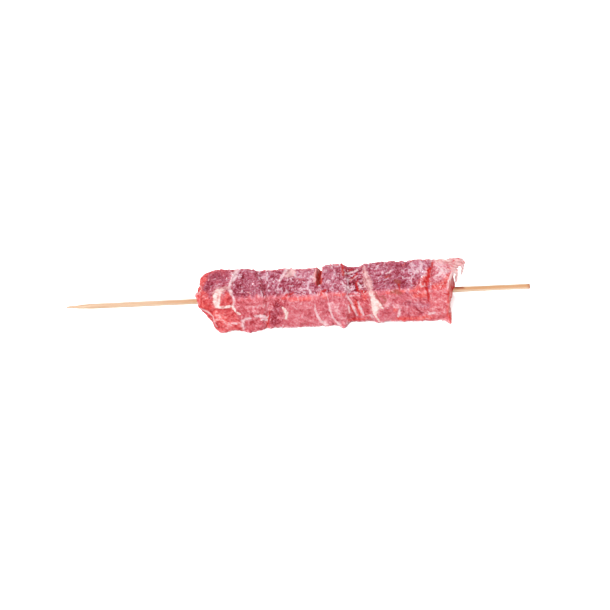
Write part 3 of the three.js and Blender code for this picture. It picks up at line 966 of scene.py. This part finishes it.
# The colours of muscle at five tones, from its dark gaps to its pale tissue: where it is cut across,
# which are darker and more lilac, partly as painted shade and sheen on the top, where it is cut along,
# and where the cut is fresh and bright.
TONES = (0, 0.3, 0.5, 0.7, 1)
MUSCLE_ACROSS_SHADE_AND_SHEEN = ((132, 10, 34), (168, 58, 82), (190, 96, 118), (206, 130, 150), (238, 196, 208))
MUSCLE_ALONG = ((168, 32, 46), (204, 84, 97), (220, 112, 124), (233, 138, 149), (252, 196, 202))
MUSCLE_FRESH = ((196, 30, 36), (224, 66, 62), (242, 88, 82), (250, 122, 116), (254, 190, 190))


def muscle(tree, tone, colours):
    """The colour of muscle at that tone."""
    made = node(tree, "ShaderNodeValToRGB")
    tree.links.new(tone, made.inputs[0])
    marks = made.color_ramp.elements
    while len(marks) < len(TONES):
        marks.new(0.5)
    for mark, place, colour in zip(marks, TONES, colours):
        mark.position = place
        mark.color = (*from_srgb(*colour), 1)
    return made.outputs[0]


fine = speckle(tree, 1900, 1900, 1900)
mottle = speckle(tree, 700, 700, 700)
across_share = field(tree, "across")
grain = scaled(tree, mottle, 0.9, -0.85, held=False)
grain = scaled(tree, fine, 0.8, grain, held=False)
tone = scaled(tree, field(tree, "tone"), 1.0, grain)
colour = blended(tree, across_share, muscle(tree, tone, MUSCLE_ALONG), muscle(tree, tone, MUSCLE_ACROSS_SHADE_AND_SHEEN))
colour = blended(tree, field(tree, "red"), colour, muscle(tree, tone, MUSCLE_FRESH))
# A painted highlight along the long edges.
colour = blended(tree, scaled(tree, field(tree, "edge"), 0.4), colour, RIDGE_HIGHLIGHT)
colour = blended(tree, field(tree, "tissue"), colour, TISSUE)
fat_share = scaled(tree, mottle, 1.6, 0.15, held=False)
fat_share = scaled(tree, fat_share, field(tree, "fat"))
colour = blended(tree, scaled(tree, field(tree, "brown"), 0.75), colour, BROWN)
colour = blended(tree, scaled(tree, fat_share, 1.6), colour, FAT_EDGE)
colour = blended(tree, scaled(tree, fat_share, 1.5, -0.5), colour, BEEF_FAT)
colour = blended(tree, scaled(tree, field(tree, "blood"), 0.9), colour, BLOOD)
tree.links.new(colour, shader.inputs["Base Color"])
rough = scaled(tree, fine, 0.5, 0.2)
tree.links.new(rough, shader.inputs["Roughness"])
shader.inputs["Subsurface Weight"].default_value = 0.25
shader.inputs["Subsurface Radius"].default_value = (1.0, 0.3, 0.25)
shader.inputs["Subsurface Scale"].default_value = 0.9 * MM
shader.inputs["Specular IOR Level"].default_value = 0.07
tree.links.new(scaled(tree, field(tree, "wet"), 0.9, 0.05), shader.inputs["Coat Weight"])
shader.inputs["Coat Roughness"].default_value = 0.12
bump = node(tree, "ShaderNodeBump", Strength=0.8, Distance=0.16 * MM)
tree.links.new(fine, bump.inputs["Height"])
tree.links.new(bump.outputs[0], shader.inputs["Normal"])

for number, piece in enumerate(beef_pieces, 1):
    piece.data.materials.append(beef)
    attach(piece, "root")
    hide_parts(f"beef_slice_{number}")


# ----------------------------------------
# Torn meat: a flap that hangs off the back corner of the last slice, where the knife tore the muscle, the
# white sinews that hang from it, and shreds along the trimmed edges. All are stuck fast to the beef.
STRAND_SIDES = 12
STRAND_SPACING = 0.22  # between a strand's rings
NO_STRAND_RUNS = (0.3, 0.9, 0.3)  # a direction that none of them takes


def strand(stops, spacing=STRAND_SPACING):
    """Rings along a strand of flesh through its stops, each (x, y, z, half thickness)."""
    stops = np.array(stops, float)
    walked = np.concatenate([[0], np.cumsum(np.linalg.norm(np.diff(stops[:, :3], axis=0), axis=1))])
    shares = np.linspace(0, walked[-1], max(6, int(walked[-1] / spacing)))
    middle = np.stack([np.interp(shares, walked, stops[:, k]) for k in range(4)], -1)
    heading = np.gradient(middle[:, :3], axis=0)
    heading /= np.linalg.norm(heading, axis=1, keepdims=True)
    aside = np.cross(heading, NO_STRAND_RUNS)
    aside /= np.linalg.norm(aside, axis=1, keepdims=True)
    upward = np.cross(aside, heading)
    angles = np.linspace(0, 2 * math.pi, STRAND_SIDES, endpoint=False)
    around = aside[:, None] * np.cos(angles)[:, None] + upward[:, None] * np.sin(angles)[:, None]
    return middle[:, None, :3] + around * middle[:, 3, None, None]


low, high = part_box("beef_slice_9")
back = high.y / MM
top = high.z / MM
corner_x = high.x / MM

# Each strand runs through places given from the corner: past the end, in from the back, and down from the
# top, with its half thickness. The flap's are grown together at the slice and torn apart at their tips.
FLAP = [
    [(-5.0, 2.4, 1.7, 1.5), (0.5, 2.2, 1.3, 1.4), (3.0, 2.8, 1.4, 1.1), (4.8, 3.9, 2.0, 0.5)],
    [(-5.0, 4.6, 1.6, 1.4), (-0.5, 4.6, 1.3, 1.3), (2.2, 4.9, 1.6, 1.0), (3.8, 5.2, 2.5, 0.6)],
    [(-5.0, 1.2, 1.6, 1.0), (0.4, 0.9, 1.2, 0.9), (2.6, 1.2, 1.1, 0.6), (3.9, 1.0, 1.3, 0.2)],
    [(-4.0, 3.4, 1.0, 0.7), (1.0, 3.4, 0.5, 0.6), (3.4, 2.4, 0.7, 0.4), (4.8, 2.6, 0.4, 0.15)],
    [(-6.0, 7.0, 1.5, 1.4), (-1.5, 6.8, 1.2, 1.2), (0.6, 6.6, 1.6, 0.6)],
    [(-6.0, 9.2, 1.5, 1.4), (-2.2, 9.2, 1.2, 1.3), (-0.3, 9.4, 1.7, 0.6)],
    [(-6.0, 10.8, 1.5, 1.2), (-2.6, 10.8, 1.1, 1.2), (-1.2, 11.2, 1.7, 0.6)],
]
SINEWS = [
    [(-2.8, 10.6, 0.7, 0.8), (-1.2, 11.0, 1.2, 0.85), (-0.8, 11.5, 2.8, 0.6), (-1.1, 11.3, 4.6, 0.75),
     (-1.0, 12.3, 6.4, 0.6), (-1.5, 12.6, 7.4, 0.25)],
    [(2.0, 5.2, 1.4, 0.9), (2.8, 5.6, 2.4, 0.85), (3.2, 5.4, 3.8, 0.8), (2.9, 6.2, 5.6, 0.6),
     (2.6, 6.9, 7.2, 0.25)],
    [(-3.2, 10.5, 0.9, 0.7), (-4.6, 14.5, 0.8, 0.8), (-6.6, 19.0, 0.9, 0.65), (-7.2, 22.0, 1.2, 0.3)],
]
torn = []
for stops in FLAP + SINEWS:
    placed = [(corner_x + past, back - inward, top - down, half) for past, inward, down, half in stops]
    torn.append(strand(placed))

# Shreds, drawn at random along the long edges.
SHREDS = 90
SHRED_LENGTH = (0.5, 1.2)
SHRED_HALF_THICKNESS = (0.22, 0.4)
SHRED_ROOTED = 0.9  # how deep a shred is stuck in the meat
SHRED_SPACING = 0.16
SHRED_CLEAR = 0.1  # above the table
SHRED_STRAY = 0.09  # radians off the edge, as a rule

for _ in range(SHREDS):
    number = int(scatter.integers(1, SLICE_COUNT + 1))
    angle = math.radians(float(scatter.choice([45, 135, 225, 315])))
    angle += float(scatter.normal(0, SHRED_STRAY))
    share = float(scatter.random())
    y = float(reach(number, np.array([angle]))[0]) * math.cos(angle)
    z = float(reach(number, np.array([angle]))[0]) * math.sin(angle)
    start = float(cut_x(number - 1, np.array([y]), np.array([z]), 1)[0])
    end = float(cut_x(number, np.array([y]), np.array([z]), -1)[0])
    x = start + (end - start) * (0.03 + 0.94 * share)
    aslant = float(scatter.normal(0, 0.9))
    out = Vector((aslant, math.cos(angle), math.sin(angle) * 0.6 - 0.25)).normalized()
    long = float(scatter.uniform(*SHRED_LENGTH))
    thick = float(scatter.uniform(*SHRED_HALF_THICKNESS))
    root = Vector((x, y, z + AXIS_HEIGHT)) - out * SHRED_ROOTED
    tip = root + out * (SHRED_ROOTED + long)
    tip.z = max(tip.z, SHRED_CLEAR + thick * 0.3)
    root.z = max(root.z, SHRED_CLEAR + thick)
    stops = [(*root, thick), (*root.lerp(tip, 0.6), thick * 0.8), (*tip, thick * 0.25)]
    torn.append(strand(stops, SHRED_SPACING))

# How uneven, sinewy, fatty, pale, bloody and red each kind of torn meat is. Their fat lies on their
# upper sides, and is partly a painted highlight.
FLAP_STRAND, SINEW, SHRED = range(3)
UNEVEN = np.array([1.4, 0.5, 0.4])
SINEWY = np.array([0.35, 0.8, 0.0])
FAT_AND_HIGHLIGHT = np.array([0.6, 0.9, 0.0])
PALE = np.array([0.95, 0.95, 0.6])
BLOODY = np.array([0.7, 0.0, 0.0])
RED = np.array([0.9, 0.8, 0.6])
SINEWY_SHREDS = 0.4  # the share of the shreds that have sinew too
TORN_LUMPS = ((0.22, 1.6, 70), (0.16, 0.8, 71))

torn_meat = skin("torn_meat", *torn)
places, facing = mesh_places(torn_meat)
uneven = layered(places, TORN_LUMPS)
point_counts = [rings.shape[0] * rings.shape[1] + 2 for rings in torn]
kinds = [FLAP_STRAND] * len(FLAP) + [SINEW] * len(SINEWS) + [SHRED] * SHREDS
kinds = np.repeat(kinds, point_counts)
moved = places + facing * (uneven * UNEVEN[kinds])[:, None]
moved[:, 2] = np.maximum(moved[:, 2], TABLE_GAP)
move_points(torn_meat, moved)
tint = np.repeat(scatter.random(len(torn)), point_counts)
sinewy = SINEWY[kinds] + 0.5 * (kinds == SHRED) * (tint > 1 - SINEWY_SHREDS)
# Fat on the upper sides, partly a painted highlight, and the flap's blood on its lower sides.
upper = uneven + 0.1 * facing[:, 2]
none = np.zeros(len(places))
keep(
    torn_meat,
    across=none + 0.2,
    fat=FAT_AND_HIGHLIGHT[kinds] * step(-0.2, 0.25, upper),
    tissue=np.clip(sinewy + uneven * 2, 0, 1),
    tone=PALE[kinds] + 0.4 * lumps(places, 1.2, 72) + 0.15 * tint,
    blood=BLOODY[kinds] * step(0.0, -0.3, upper),
    red=RED[kinds],
    edge=none,
    wet=none + 0.2,
    brown=none,
)
torn_meat.data.materials.append(beef)
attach(torn_meat, "root")
